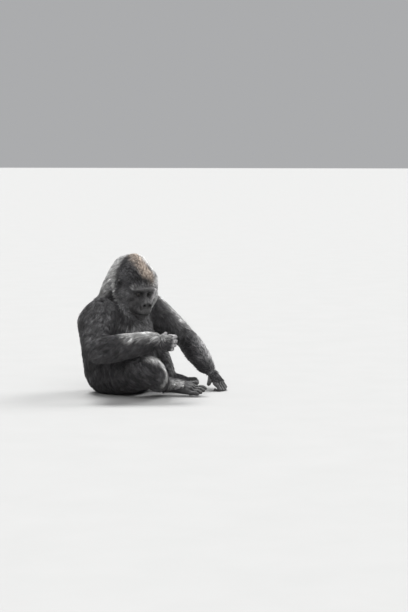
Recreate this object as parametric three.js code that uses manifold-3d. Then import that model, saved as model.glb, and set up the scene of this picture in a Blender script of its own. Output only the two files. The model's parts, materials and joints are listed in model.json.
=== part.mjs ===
// A gorilla, an adult male of moderate size, sitting on the ground at life size. Millimetres, +Z up,
// facing -Y, so its left side is towards +X. It leans forward with its head bowed and turned to its
// right. Its right forearm rests across the raised right knee and ends in a loose fist. Its left
// arm props on its knuckles, and its feet stand flat in front of it. The solids reach to the tips
// of the coat. Each is trimmed flat at the floor, and keeps a small gap to the solids before it.
import * as THREE from "three";
import { mergeVertices } from "three/addons/utils/BufferGeometryUtils.js";
import Module from "manifold-3d";

const wasm = await Module();
wasm.setup();

const point = (x, y, z) => new THREE.Vector3(x, y, z);

// ---------- driving dimensions ----------
const GAP = 0.4; // between neighbouring solids
const FLOOR = { width: 3000, depth: 200 }; // the block that trims what would sink into the floor
const X_AXIS = point(1, 0, 0);
const Z_AXIS = point(0, 0, 1);

const HEAD = {
  middle: point(-12, -69, 659), // half way between the ears
  turn: 25, // degrees to its right
  bow: 25, // degrees down
};

const JOINTS = {
  right: {
    shoulder: point(-204, 40, 498),
    elbow: point(-456, -81, 284),
    wrist: point(-213, -368, 342),
    hip: point(-98, -42, 120),
    knee: point(-228, -350, 188),
    ankle: point(18, -232, 80),
    heel: point(44, -226, 0),
    toes: point(122, -526, 0),
  },
  left: {
    shoulder: point(198, 14, 516),
    elbow: point(498, -66, 291),
    wrist: point(398, -325, 108),
    hip: point(87, 37, 120),
    knee: point(336, 78, 288),
    ankle: point(228, -132, 92),
    heel: point(198, -132, 0),
    toes: point(468, -166, 0),
  },
};

const FOOT_HALF_WIDTH = 46;

const COLOUR = { coat: 0x3a3a3d, skin: 0x1d1c1e, eye: 0x2a1608 };

// ---------- making and cutting solids ----------
function solidFrom(geometry) {
  const bare = geometry.clone();
  bare.deleteAttribute("normal");
  bare.deleteAttribute("uv");
  const merged = mergeVertices(bare, 1e-3);
  return new wasm.Manifold(
    new wasm.Mesh({
      numProp: 3,
      vertProperties: new Float32Array(merged.attributes.position.array),
      triVerts: new Uint32Array(merged.index.array),
    }),
  );
}

function geometryFrom(solid) {
  const mesh = solid.getMesh();
  const places = new Float32Array(mesh.numVert * 3);
  for (let i = 0; i < mesh.numVert; i++) {
    const start = i * mesh.numProp;
    places.set(mesh.vertProperties.subarray(start, start + 3), i * 3);
  }
  return new THREE.BufferGeometry()
    .setAttribute("position", new THREE.BufferAttribute(places, 3))
    .setIndex(new THREE.BufferAttribute(new Uint32Array(mesh.triVerts), 1));
}

const joined = (solids) => solids.reduce((whole, solid) => whole.add(solid));

const largest = (solid) =>
  solid.decompose().reduce((a, b) => (a.volume() > b.volume() ? a : b));

const floorBlock = solidFrom(
  new THREE.BoxGeometry(FLOOR.width, FLOOR.width, FLOOR.depth).translate(0, 0, -FLOOR.depth / 2),
);

// ---------- forms ----------
// Flesh along a smooth line. A station is [place, half breadth along side, half depth across it].
// The first and last stations are the tips, and roundness is the share of the length that each
// tip takes to reach its full girth. Its rings lie square to the line, or square to level.
function flesh(stations, options) {
  const { side = X_AXIS, level, sides = 14, rings = 9, roundness = 0.25, grow = 0 } = options;
  const line = new THREE.CatmullRomCurve3(stations.map(([at]) => at), false, "centripetal");
  const girths = new THREE.CatmullRomCurve3(
    stations.map(([, breadth, depth]) => point(breadth, depth, 0)),
  );
  const form = new THREE.SphereGeometry(1, sides, rings);
  const places = form.attributes.position;
  for (let i = 0; i < places.count; i++) {
    const unit = point().fromBufferAttribute(places, i);
    const along = Math.acos(THREE.MathUtils.clamp(unit.y, -1, 1)) / Math.PI;
    const toEnd = Math.min(1, Math.min(along, 1 - along) / roundness);
    const taper = Math.sqrt(1 - (1 - toEnd) ** 2);
    const tangent = level ?? line.getTangent(along);
    const across = side.clone().addScaledVector(tangent, -side.dot(tangent)).normalize();
    const through = tangent.clone().cross(across);
    const girth = girths.getPoint(along);
    const round = Math.atan2(unit.z, unit.x);
    const place = line
      .getPoint(along)
      .addScaledVector(tangent, grow * (2 * along - 1))
      .addScaledVector(across, Math.cos(round) * (girth.x + grow) * taper)
      .addScaledVector(through, Math.sin(round) * (girth.y + grow) * taper);
    places.setXYZ(i, place.x, place.y, place.z);
  }
  return solidFrom(form);
}

// A finger or toe that bends towards the palm or sole: each bend is counted from straight ahead.
function digit(root, ahead, palmward, lengths, bends, radius, options) {
  const places = [root.clone().addScaledVector(ahead, -radius)];
  let tip = root.clone();
  places.push(tip);
  lengths.forEach((length, i) => {
    const angle = THREE.MathUtils.degToRad(bends[i]);
    tip = tip
      .clone()
      .addScaledVector(ahead, Math.cos(angle) * length)
      .addScaledVector(palmward, Math.sin(angle) * length);
    places.push(tip);
  });
  const taper = (i) => radius * (1 - (0.22 * i) / (places.length - 1));
  const stations = places.map((at, i) => [at, taper(i), taper(i)]);
  return flesh(stations, { sides: 6, rings: 6, roundness: 0.25, ...options });
}

// ---------- trunk and neck ----------
function trunk(grow) {
  const stations = [
    [point(0, 50, -60), 202, 196],
    [point(0, 58, 70), 233, 217],
    [point(0, 70, 200), 238, 214],
    [point(4, 88, 325), 246, 214],
    [point(3, 112, 425), 243, 218],
    [point(0, 104, 492), 224, 186],
    [point(0, 86, 552), 196, 134],
    [point(0, 58, 640), 130, 96],
  ];
  return flesh(stations, { level: Z_AXIS, sides: 20, rings: 14, roundness: 0.2, grow });
}

function neck(grow) {
  const stations = [
    [point(0, 96, 500), 200, 120],
    [point(0, 74, 600), 162, 94],
    [point(0, 38, 690), 112, 86],
    [point(2, 6, 765), 100, 88],
    [point(4, -24, 835), 66, 62],
  ];
  return flesh(stations, { sides: 16, rings: 9, roundness: 0.3, grow });
}

// ---------- arms ----------
const between = (a, b, share) => a.clone().lerp(b, share);

function upperArm({ shoulder, elbow }, fullness, grow) {
  const root = between(shoulder, elbow, -0.28).setZ(shoulder.z + 24);
  const stations = [
    [root, 78, 78],
    [shoulder, 98, 102],
    [between(shoulder, elbow, 0.4), 74 * fullness, 92],
    [between(shoulder, elbow, 0.8), 66 * fullness, 80 * fullness],
    [between(shoulder, elbow, 1.14), 68 * fullness, 72 * fullness],
  ];
  return flesh(stations, { side: Z_AXIS, sides: 12, grow });
}

// The cuff is how much deeper the long hair at the wrist makes the arm, all of it on top, and the
// end is how far along the arm goes, with the wrist at 1.
function forearm({ elbow, wrist }, { girth, cuff, end }, grow) {
  const raised = (share, height) => between(elbow, wrist, share).add(point(0, 0, height / 2));
  const stations = [
    [between(elbow, wrist, -0.14), 64 * girth, 60 * girth],
    [between(elbow, wrist, 0.1), 78 * girth, 74 * girth],
    [between(elbow, wrist, 0.42), 80 * girth, 72 * girth],
    [raised(0.75, 0.25 * cuff), 64 * girth + 0.125 * cuff, 58 * girth],
    [raised(end, cuff), 50 * girth + 0.5 * cuff, 42 * girth + 0.15 * cuff],
  ];
  return flesh(stations, { side: Z_AXIS, grow });
}

// A hand: ahead points from the wrist to the knuckles, palmward out of the palm, and spread from
// the little finger to the thumb.
function hand({ wrist }, { ahead, palmward, bends, thumb, thumbBends }, grow) {
  const spread = palmward.clone().cross(ahead).normalize();
  const towardsThumb = thumb.dot(spread) > 0 ? spread : spread.clone().negate();
  const place = (forward, inward, thumbward) =>
    wrist
      .clone()
      .addScaledVector(ahead, forward)
      .addScaledVector(palmward, inward)
      .addScaledVector(towardsThumb, thumbward);
  const palm = flesh(
    [
      [place(-22, 0, 0), 34, 26],
      [place(25, 0, 0), 42, 30],
      [place(70, 0, 0), 48, 27],
      [place(106, 4, 0), 40, 20],
    ],
    { side: towardsThumb, sides: 12, rings: 7, grow },
  );
  const knuckleRise = [0, 5, 3, -4];
  const fingers = [36, 12, -12, -35].map((offset, i) =>
    digit(
      place(84 + knuckleRise[i], 0, offset),
      ahead,
      palmward,
      [46, 33, 22].map((length) => length * (i === 3 ? 0.84 : 1)),
      bends,
      i === 3 ? 13.5 : 15,
      { side: towardsThumb, grow },
    ),
  );
  const thumbAhead = ahead.clone().multiplyScalar(0.75).addScaledVector(towardsThumb, 0.5).normalize();
  const thumbSolid = digit(
    place(28, 8, 34),
    thumbAhead,
    palmward,
    [36, 26],
    thumbBends,
    14.5,
    { side: towardsThumb, grow },
  );
  return joined([palm, ...fingers, thumbSolid]);
}

// ---------- legs ----------
function thigh({ hip, knee }, grow) {
  const stations = [
    [between(hip, knee, -0.25), 100, 104],
    [hip, 122, 126],
    [between(hip, knee, 0.45), 112, 120],
    [between(hip, knee, 0.85), 92, 98],
    [between(hip, knee, 1.2), 74, 76],
  ];
  return flesh(stations, { side: Z_AXIS, grow });
}

// A lower leg. Its calf hangs by sag where the leg lies along the ground.
function lowerLeg({ knee, ankle }, girth, sag, grow) {
  const hung = (share, drop) => between(knee, ankle, share).add(point(0, 0, -drop * sag));
  const stations = [
    [hung(-0.16, 0), 60 * girth, 60 * girth],
    [hung(0.1, 0.5), 76 * girth, 74 * girth],
    [hung(0.42, 1), 78 * girth, 74 * girth],
    [hung(0.78, 0.8), 58, 58],
    [hung(1.14, 0), 44, 44],
  ];
  return flesh(stations, { side: Z_AXIS, sides: 12, grow });
}

// A foot. medial is +1 where the big toe's side is to the left of its way ahead, and -1 where it is
// to the right. The foot rolls by tilt degrees on its outer edge, which lifts the big toe's side.
function foot({ heel, toes }, { medial, tilt }, grow) {
  const ahead = toes.clone().sub(heel).normalize();
  const inward = point(-ahead.y, ahead.x, 0).multiplyScalar(medial);
  const roll = THREE.MathUtils.degToRad(tilt);
  const across = inward.clone().multiplyScalar(Math.cos(roll)).addScaledVector(Z_AXIS, Math.sin(roll));
  const down = inward.clone().multiplyScalar(Math.sin(roll)).addScaledVector(Z_AXIS, -Math.cos(roll));
  const outerEdge = heel.clone().addScaledVector(inward, -FOOT_HALF_WIDTH);
  const place = (forward, aside, height) =>
    outerEdge
      .clone()
      .addScaledVector(ahead, forward)
      .addScaledVector(across, aside + FOOT_HALF_WIDTH)
      .addScaledVector(down, -height);
  const sole = flesh(
    [
      [place(-20, 0, 34), 34, 30],
      [place(25, 0, 42), 42, 44],
      [place(95, 0, 44), 46, 44],
      [place(165, 0, 29), 53, 30],
      [place(222, -2, 20), 47, 20],
    ],
    { side: across, sides: 12, rings: 8, grow },
  );
  const toeLengths = [[30, 22, 18], [32, 22, 18], [30, 21, 17], [26, 18, 15]];
  const small = [26, 3, -19, -39].map((offset, i) =>
    digit(
      place(203 - 6 * i, offset, 18),
      ahead,
      down,
      toeLengths[i],
      [-10, 15, 40],
      15 - i * 0.6,
      { side: across, grow },
    ),
  );
  const bigAhead = ahead.clone().multiplyScalar(0.84).addScaledVector(across, 0.54).normalize();
  const big = digit(place(118, 36, 24), bigAhead, down, [48, 30, 20], [2, 10, 28], 19, {
    side: across,
    grow,
  });
  return joined([sole, big, ...small]);
}

// ---------- head ----------
// The head's own axes: x to its right, y ahead and z up, from half way between the ears.
const headFrame = new THREE.Matrix4()
  .makeTranslation(HEAD.middle)
  .multiply(new THREE.Matrix4().makeRotationZ(THREE.MathUtils.degToRad(180 - HEAD.turn)))
  .multiply(new THREE.Matrix4().makeRotationX(THREE.MathUtils.degToRad(-HEAD.bow)));

const HEAD_FORMS = [
  { name: "cranium", at: [0, -18, 34], size: [110, 122, 96] },
  { name: "crest", at: [0, -62, 84], size: [78, 90, 80] },
  { name: "temples", at: [73, 10, 31], size: [50, 76, 58], paired: true },
  { name: "brow", at: [0, 104, 22], size: [44, 24, 18] },
  { name: "brow ends", at: [48, 92, 23], size: [40, 24, 19], paired: true },
  { name: "bridge", at: [0, 102, -10], size: [24, 27, 36] },
  { name: "cheekbones", at: [64, 62, -26], size: [44, 48, 42], paired: true },
  { name: "muzzle", at: [0, 110, -92], size: [56, 58, 54] },
  { name: "nose", at: [0, 140, -54], size: [30, 22, 24] },
  { name: "nostril wings", at: [20, 140, -61], size: [18, 20, 19], paired: true },
  { name: "upper lip", at: [0, 138, -108], size: [46, 34, 32] },
  { name: "chin", at: [0, 112, -154], size: [43, 44, 36] },
  { name: "cheek ruffs", at: [80, 2, -56], size: [51, 68, 72], paired: true },
  { name: "left cheek ruff", at: [-86, 54, -62], size: [40, 48, 66] },
  { name: "jaw", at: [60, 32, -114], size: [50, 62, 64], paired: true },
  { name: "throat", at: [0, 30, -148], size: [72, 66, 60] },
];
const HEAD_CORE = point(0, 30, -26); // every ray from here leaves the head once
const FACE_AXIS = point(0, 0.94, -0.34).normalize(); // the finest rings surround it
const HEAD_REACH = 320; // farther from the core than any of the head
const BLEND = 9; // how softly the forms run together
const SOCKET_BLEND = 4; // and how softly the eye sockets are sunk in them
const CROWDING = 1.3; // above 1, the head's rings crowd towards the face
const HALVINGS = 16; // steps of each search for the head's surface
const EYE = {
  at: point(37, 103, -14),
  radius: 13,
  socketAt: point(38, 120, -14),
  socket: [22, 20, 15],
};

// About how far a place lies outside an ellipsoid.
function distanceTo(place, at, [a, b, c]) {
  const x = place.x - at[0];
  const y = place.y - at[1];
  const z = place.z - at[2];
  const near = Math.hypot(x / a, y / b, z / c);
  const slope = Math.hypot(x / a ** 2, y / b ** 2, z / c ** 2);
  return slope === 0 ? -Math.min(a, b, c) : (near * (near - 1)) / slope;
}

function headField(place) {
  const mirrored = point(Math.abs(place.x), place.y, place.z);
  let sum = 0;
  for (const { at, size, paired } of HEAD_FORMS) {
    sum += Math.exp(-distanceTo(paired ? mirrored : place, at, size) / BLEND);
  }
  const flesh = -BLEND * Math.log(sum);
  const socket = -distanceTo(mirrored, EYE.socketAt.toArray(), EYE.socket);
  return SOCKET_BLEND * Math.log(Math.exp(flesh / SOCKET_BLEND) + Math.exp(socket / SOCKET_BLEND));
}

// The way out from the core to each vertex of the head, and how far the surface is along it.
function headRays(form) {
  const places = form.attributes.position;
  const toFace = new THREE.Quaternion().setFromUnitVectors(point(0, 1, 0), FACE_AXIS);
  return Array.from({ length: places.count }, (_, i) => {
    const unit = point().fromBufferAttribute(places, i);
    const share = Math.acos(THREE.MathUtils.clamp(unit.y, -1, 1)) / Math.PI;
    const polar = Math.PI * share ** CROWDING;
    const round = Math.atan2(unit.z, unit.x);
    const ray = point(
      Math.sin(polar) * Math.cos(round),
      Math.cos(polar),
      Math.sin(polar) * Math.sin(round),
    ).applyQuaternion(toFace);
    let [inside, outside] = [0, HEAD_REACH];
    for (let step = 0; step < HALVINGS; step++) {
      const reach = (inside + outside) / 2;
      if (headField(HEAD_CORE.clone().addScaledVector(ray, reach)) < 0) inside = reach;
      else outside = reach;
    }
    return { ray, reach: inside };
  });
}

const headForm = new THREE.SphereGeometry(1, 28, 23);
const rays = headRays(headForm);

function head(grow) {
  const form = headForm.clone();
  rays.forEach(({ ray, reach }, i) => {
    const place = HEAD_CORE.clone().addScaledVector(ray, reach + grow).applyMatrix4(headFrame);
    form.attributes.position.setXYZ(i, place.x, place.y, place.z);
  });
  return solidFrom(form);
}

function eye(side, grow) {
  const ball = new THREE.SphereGeometry(EYE.radius + grow, 10, 7);
  ball.translate(EYE.at.x * side, EYE.at.y, EYE.at.z).applyMatrix4(headFrame);
  return solidFrom(ball);
}

// A small rounded ear, dished on its outer face.
const EAR = {
  at: point(109, 8, 8),
  flare: 25, // degrees by which it stands out behind
  size: [12, 20, 30],
  out: 8, // from its place to its own middle, sideways
  dish: [10, 13, 21],
  dishOut: 20,
};

function ear(side, grow) {
  const turn = new THREE.Matrix4()
    .makeTranslation(EAR.at.x * side, EAR.at.y, EAR.at.z)
    .multiply(new THREE.Matrix4().makeRotationZ(THREE.MathUtils.degToRad(EAR.flare * side)));
  const shaped = (size, out, extra) =>
    solidFrom(
      new THREE.SphereGeometry(1, 10, 7)
        .scale(size[0] + extra, size[1] + extra, size[2] + extra)
        .translate(out * side, 0, 0)
        .applyMatrix4(turn)
        .applyMatrix4(headFrame),
    );
  const whole = shaped(EAR.size, EAR.out, grow);
  return grow ? whole : whole.subtract(shaped(EAR.dish, EAR.dishOut, 0));
}

// ---------- putting it together ----------
const RIGHT_FIST = {
  ahead: point(0.66, -0.74, -0.12).normalize(),
  palmward: point(0.75, 0.66, 0).normalize(),
  bends: [62, 150, 225],
  thumb: Z_AXIS,
  thumbBends: [55, 75],
};
const LEFT_KNUCKLES = {
  ahead: point(0, -0.66, -0.75).normalize(),
  palmward: point(0, 0.75, -0.66).normalize(),
  bends: [-5, 110, 195],
  thumb: point(-1, 0, 0),
  thumbBends: [25, 45],
};
const RIGHT_FOREARM = { girth: 1.02, cuff: 36, end: 1.16 };
const LEFT_FOREARM = { girth: 1, cuff: 0, end: 1.1 };
const RIGHT_FOOT = { medial: 1, tilt: 26 };
const LEFT_FOOT = { medial: -1, tilt: 20 };

// Name, colour and maker of each solid. Each is cut clear of all those before it.
const { right, left } = JOINTS;
const PIECES = [
  ["eye_right", COLOUR.eye, (grow) => eye(1, grow)],
  ["eye_left", COLOUR.eye, (grow) => eye(-1, grow)],
  ["ear_right", COLOUR.skin, (grow) => ear(1, grow)],
  ["ear_left", COLOUR.skin, (grow) => ear(-1, grow)],
  ["head", COLOUR.coat, head],
  ["trunk", COLOUR.coat, trunk],
  ["neck", COLOUR.coat, neck],
  ["hand_right", COLOUR.skin, (grow) => hand(right, RIGHT_FIST, grow)],
  ["hand_left", COLOUR.skin, (grow) => hand(left, LEFT_KNUCKLES, grow)],
  ["forearm_right", COLOUR.coat, (grow) => forearm(right, RIGHT_FOREARM, grow)],
  ["forearm_left", COLOUR.coat, (grow) => forearm(left, LEFT_FOREARM, grow)],
  ["upper_arm_right", COLOUR.coat, (grow) => upperArm(right, 1, grow)],
  ["upper_arm_left", COLOUR.coat, (grow) => upperArm(left, 1.18, grow)],
  ["foot_right", COLOUR.skin, (grow) => foot(right, RIGHT_FOOT, grow)],
  ["foot_left", COLOUR.skin, (grow) => foot(left, LEFT_FOOT, grow)],
  ["lower_leg_right", COLOUR.coat, (grow) => lowerLeg(right, 1, 30, grow)],
  ["lower_leg_left", COLOUR.coat, (grow) => lowerLeg(left, 0.86, 0, grow)],
  ["thigh_right", COLOUR.coat, (grow) => thigh(right, grow)],
  ["thigh_left", COLOUR.coat, (grow) => thigh(left, grow)],
];

const gorilla = new THREE.Group();
let taken = floorBlock;
for (const [name, colour, make] of PIECES) {
  const solid = largest(make(0).subtract(taken));
  taken = taken.add(make(GAP));
  const material = new THREE.MeshStandardMaterial({ color: colour, roughness: 0.8, metalness: 0 });
  const mesh = new THREE.Mesh(geometryFrom(solid), material);
  mesh.name = name;
  gorilla.add(mesh);
}

// The origin is on the floor, under the middle of the whole.
const middle = new THREE.Box3().setFromObject(gorilla).getCenter(point());
gorilla.children.forEach((mesh) => mesh.position.set(-middle.x, -middle.y, 0));

export default gorilla;
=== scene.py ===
# A gorilla sitting on the ground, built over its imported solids. One skin takes the place of all the
# flesh, with eyes and nails of their own, and the coat is mesh tufts that follow the lie of the hair.
import json
import math

import bmesh
import bpy
import numpy as np
from mathutils import Matrix, Vector, noise
from mathutils.bvhtree import BVHTree
from mathutils.kdtree import KDTree

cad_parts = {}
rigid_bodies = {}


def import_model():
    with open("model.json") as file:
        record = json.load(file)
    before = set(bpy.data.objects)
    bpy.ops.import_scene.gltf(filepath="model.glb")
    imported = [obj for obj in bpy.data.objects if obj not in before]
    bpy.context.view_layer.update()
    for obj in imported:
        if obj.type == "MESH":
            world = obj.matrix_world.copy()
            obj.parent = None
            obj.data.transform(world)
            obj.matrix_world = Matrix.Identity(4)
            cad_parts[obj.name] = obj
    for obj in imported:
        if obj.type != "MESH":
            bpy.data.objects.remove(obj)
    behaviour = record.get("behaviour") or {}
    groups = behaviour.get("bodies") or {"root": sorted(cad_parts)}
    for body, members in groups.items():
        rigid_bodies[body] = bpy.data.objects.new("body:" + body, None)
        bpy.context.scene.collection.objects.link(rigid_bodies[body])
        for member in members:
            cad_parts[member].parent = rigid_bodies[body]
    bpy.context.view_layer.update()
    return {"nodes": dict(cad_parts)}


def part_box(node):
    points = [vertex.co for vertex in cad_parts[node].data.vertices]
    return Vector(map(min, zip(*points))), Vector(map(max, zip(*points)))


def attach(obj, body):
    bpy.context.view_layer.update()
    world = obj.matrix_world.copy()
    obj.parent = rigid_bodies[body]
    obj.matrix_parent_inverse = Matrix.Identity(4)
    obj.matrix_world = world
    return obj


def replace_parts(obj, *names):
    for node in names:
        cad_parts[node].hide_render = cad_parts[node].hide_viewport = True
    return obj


for thing in list(bpy.data.objects):  # the cube, light and camera that Blender starts with
    bpy.data.objects.remove(thing)
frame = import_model()
nodes = frame["nodes"]
scene = bpy.context.scene
eyeNames = ["eye_right", "eye_left"]
fleshNames = sorted(name for name in nodes if name not in eyeNames)


# Places are in metres. The head has axes of its own, from half way between the ears:
# x to its right, y ahead and z up. Sizes on the head are in millimetres along them.
pose = {
    "headTurn": 25,  # degrees to its right
    "headBow": 25,  # degrees down
    "headMiddle": (-12, -69, 659),  # in the body's own millimetres
    "eyeAt": (37, 103, -14),
    "eyeRadius": 13,
    "earAt": (117, 8, 8),
}


def boxMiddle(name):
    low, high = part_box(name)
    return (low + high) / 2


headAxes = (Matrix.Rotation(math.radians(180 - pose["headTurn"]), 3, "Z")
            @ Matrix.Rotation(math.radians(-pose["headBow"]), 3, "X"))
eyeMiddle = (boxMiddle("eye_right") + boxMiddle("eye_left")) / 2
headMiddle = eyeMiddle - headAxes @ Vector((0, *pose["eyeAt"][1:])) / 1000
bodyShift = headMiddle - Vector(pose["headMiddle"]) / 1000


def place(x, y, z):
    return Vector((x, y, z)) / 1000 + bodyShift


def toHead(points):
    return (points - np.array(headMiddle)) @ np.array(headAxes) * 1000


def fromHead(head):
    return head / 1000 @ np.array(headAxes).T + np.array(headMiddle)


def folded(head):
    # with its left side laid over the right
    return np.concatenate([np.abs(head[:, :1]), head[:, 1:]], 1)


def fromEar(head, size):
    # 0 in the middle of an ear and 1 at this distance from it
    return np.linalg.norm((folded(head) - np.array(pose["earAt"])) / np.array(size), axis=1)


joints = {
    "right": {"shoulder": place(-204, 40, 498), "elbow": place(-456, -81, 284),
              "wrist": place(-213, -368, 342), "hip": place(-98, -42, 120),
              "knee": place(-228, -350, 188), "ankle": place(18, -232, 80),
              "heel": place(44, -226, 0), "toes": place(122, -526, 0)},
    "left": {"shoulder": place(198, 14, 516), "elbow": place(498, -66, 291),
             "wrist": place(398, -325, 108), "hip": place(87, 37, 120),
             "knee": place(336, 78, 288), "ankle": place(228, -132, 92),
             "heel": place(198, -132, 0), "toes": place(468, -166, 0)},
}
hands = {
    "right": {"ahead": Vector((0.66, -0.74, -0.12)).normalized(),
              "palmward": Vector((0.75, 0.66, 0)).normalized(),
              "bends": (62, 150, 225), "thumb": Vector((0, 0, 1)), "thumbBends": (55, 75)},
    "left": {"ahead": Vector((0, -0.66, -0.75)).normalized(),
             "palmward": Vector((0, 0.75, -0.66)).normalized(),
             "bends": (-5, 110, 195), "thumb": Vector((-1, 0, 0)), "thumbBends": (25, 45)},
}
feet = {"right": {"medial": 1, "tilt": 26}, "left": {"medial": -1, "tilt": 20}}
handPlan = {
    "palm": 84,  # wrist to knuckles
    "fingers": ((36, 0, 1), (12, 5, 1), (-12, 3, 1), (-35, -4, 0.84)),  # aside, ahead and length
    "bones": (46, 33, 22),
    "radius": 14,
    "thumbAt": (28, 8, 34),  # ahead, to the palm and aside
    "thumbWay": (0.75, 0.5),  # ahead and aside
    "thumbBones": (36, 26),
}
footPlan = {
    "half": 46,  # of its breadth
    "toesAt": (203, 18),  # ahead of the heel and up
    "toeStep": 6,  # how much further back each next toe starts
    "toesAside": (26, 3, -19, -39),
    "toeBones": ((30, 22, 18), (32, 22, 18), (30, 21, 17), (26, 18, 15)),
    "toeBends": (-10, 15, 40),
    "toeRadius": 13,
    "bigAt": (118, 36, 24),  # ahead, aside and up
    "bigWay": (0.84, 0.54),
    "bigBones": (48, 30, 20),
    "bigBends": (2, 10, 28),
    "bigRadius": 18,
}


def digit(root, ahead, palmward, lengths, bends, radius, nail, behind):
    # a finger or toe: its joints, its last bone's way, the way its nail faces and
    # which way its bone runs on behind it
    ends = [Vector(root)]
    for length, bend in zip(lengths, bends):
        angle = math.radians(bend)
        way = ahead * math.cos(angle) + palmward * math.sin(angle)
        ends.append(ends[-1] + way * length / 1000)
    up = ahead * math.sin(angle) - palmward * math.cos(angle)
    return {"joints": ends, "way": way, "up": up, "last": lengths[-1] / 1000, "radius": radius,
            "nail": nail, "behind": np.array(behind)}


def handDigits(side):
    plan, wrist = hands[side], joints[side]["wrist"]
    ahead, palmward = plan["ahead"], plan["palmward"]
    spread = palmward.cross(ahead).normalized()
    thumbward = spread if plan["thumb"].dot(spread) > 0 else -spread
    radius = handPlan["radius"]
    made = []
    for aside, rise, share in handPlan["fingers"]:
        root = wrist + (ahead * (handPlan["palm"] + rise) + thumbward * aside) / 1000
        lengths = [length * share for length in handPlan["bones"]]
        made.append(digit(root, ahead, palmward, lengths, plan["bends"], radius, "finger", ahead))
    forward, inward, aside = handPlan["thumbAt"]
    root = wrist + (ahead * forward + palmward * inward + thumbward * aside) / 1000
    forward, aside = handPlan["thumbWay"]
    way = (ahead * forward + thumbward * aside).normalized()
    made.append(digit(root, way, palmward, handPlan["thumbBones"], plan["thumbBends"],
                      radius, "thumb", Vector()))
    return made


def footDigits(side):
    heel, toes = joints[side]["heel"], joints[side]["toes"]
    ahead = (toes - heel).normalized()
    inward = Vector((-ahead.y, ahead.x, 0)) * feet[side]["medial"]
    roll = math.radians(feet[side]["tilt"])
    across = inward * math.cos(roll) + Vector((0, 0, math.sin(roll)))
    down = inward * math.sin(roll) - Vector((0, 0, math.cos(roll)))
    outerEdge = heel - inward * footPlan["half"] / 1000

    def at(forward, aside, height):
        return outerEdge + (ahead * forward + across * (aside + footPlan["half"]) - down * height) / 1000

    made = []
    forward, height = footPlan["toesAt"]
    for k, (aside, bones) in enumerate(zip(footPlan["toesAside"], footPlan["toeBones"])):
        root = at(forward - footPlan["toeStep"] * k, aside, height)
        made.append(digit(root, ahead, down, bones, footPlan["toeBends"],
                          footPlan["toeRadius"], "toe", ahead))
    forward, aside = footPlan["bigWay"]
    way = (ahead * forward + across * aside).normalized()
    made.append(digit(at(*footPlan["bigAt"]), way, down, footPlan["bigBones"], footPlan["bigBends"],
                      footPlan["bigRadius"], "bigToe", Vector()))
    return made


allDigits = {kind + side: make(side) for side in ("right", "left")
             for kind, make in (("hand_", handDigits), ("foot_", footDigits))}


# ---- helpers on whole meshes ----
def smoothstep(low, high, values):
    share = np.clip((values - low) / (high - low), 0, 1)
    return share * share * (3 - 2 * share)


def readAll(items, name, width, kind=np.float32):
    # what every item says by this name, as rows of this width
    flat = np.empty(len(items) * width, kind)
    items.foreach_get(name, flat)
    return flat.reshape(-1, width)


def spotsOf(mesh):
    return readAll(mesh.vertices, "co", 3).astype(float)


def normalsOf(mesh):
    return readAll(mesh.vertex_normals, "vector", 3).astype(float)


def edgesOf(mesh):
    return readAll(mesh.edges, "vertices", 2, np.int32)


def setSpots(mesh, spots):
    mesh.vertices.foreach_set("co", spots.astype(np.float32).ravel())
    mesh.update()


def treeOf(spots, mesh):
    # for rays and nearest places, with the mesh's corners at these spots
    return BVHTree.FromPolygons([Vector(spot) for spot in spots], [tuple(f.vertices) for f in mesh.polygons])


def shadeSmooth(mesh):
    mesh.polygons.foreach_set("use_smooth", np.ones(len(mesh.polygons), bool))


def within(places, low, high):
    return ((places > low) & (places < high)).all(1)


def relaxed(values, edges, rounds):
    # each value moves half way to the mean of its neighbours'
    ends, others = np.concatenate([edges, edges[:, ::-1]]).T
    count = np.maximum(np.bincount(ends, minlength=len(values)), 1)
    columns = values.reshape(len(values), -1).copy()
    for _ in range(rounds):
        for k in range(columns.shape[1]):
            mean = np.bincount(ends, columns[others, k], len(values)) / count
            columns[:, k] += (mean - columns[:, k]) / 2
    return columns.reshape(values.shape)


def unit(vectors):
    return vectors / np.maximum(np.linalg.norm(vectors, axis=-1, keepdims=True), 1e-9)


def awayFrom(spots, line):
    # how far each place is from the line
    nearest = np.full(len(spots), np.inf)
    for a, b in zip(np.array(line[:-1], float), np.array(line[1:], float)):
        share = np.clip((spots - a) @ (b - a) / ((b - a) @ (b - a)), 0, 1)
        nearest = np.minimum(nearest, np.linalg.norm(spots - a - share[:, None] * (b - a), axis=1))
    return nearest


def applyAll(thing):
    # the object's modifiers become part of its mesh
    bpy.context.view_layer.update()
    made = bpy.data.meshes.new_from_object(thing.evaluated_get(bpy.context.evaluated_depsgraph_get()))
    thing.modifiers.clear()
    thing.data = made


def newObject(name, data):
    thing = bpy.data.objects.new(name, data)
    scene.collection.objects.link(thing)
    return thing


def meshFrom(work, name):
    mesh = bpy.data.meshes.new(name)
    work.to_mesh(mesh)
    work.free()
    return mesh


def give(mesh, name, values, kind="FLOAT"):
    # an attribute with a value for each vertex
    layer = mesh.attributes.new(name, kind, "POINT")
    layer.data.foreach_set("value" if kind == "FLOAT" else "color", values.astype(np.float32).ravel())


# ---- skin: all the solids as one closed surface ----
skinPlan = {
    "grow": 0.0012,  # closes the gaps between solids
    "voxel": 0.0035,
    "rounds": 8,  # of smoothing everywhere
    "bodyRounds": 30,  # and more where the coat lies
    "bodyShare": 0.15,  # of the body's faces kept
    # where the skin lies higher under the coat: at the right wrist and in the left armpit
    "full": [((-205, -383, 372), 0.046), ((188, -23, 392), 0.060), ((266, -7, 375), 0.050)],
    "headOut": 0.0065,  # the most that the skin may move out, on the head and elsewhere
    "bodyOut": 0.002,
}


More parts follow.
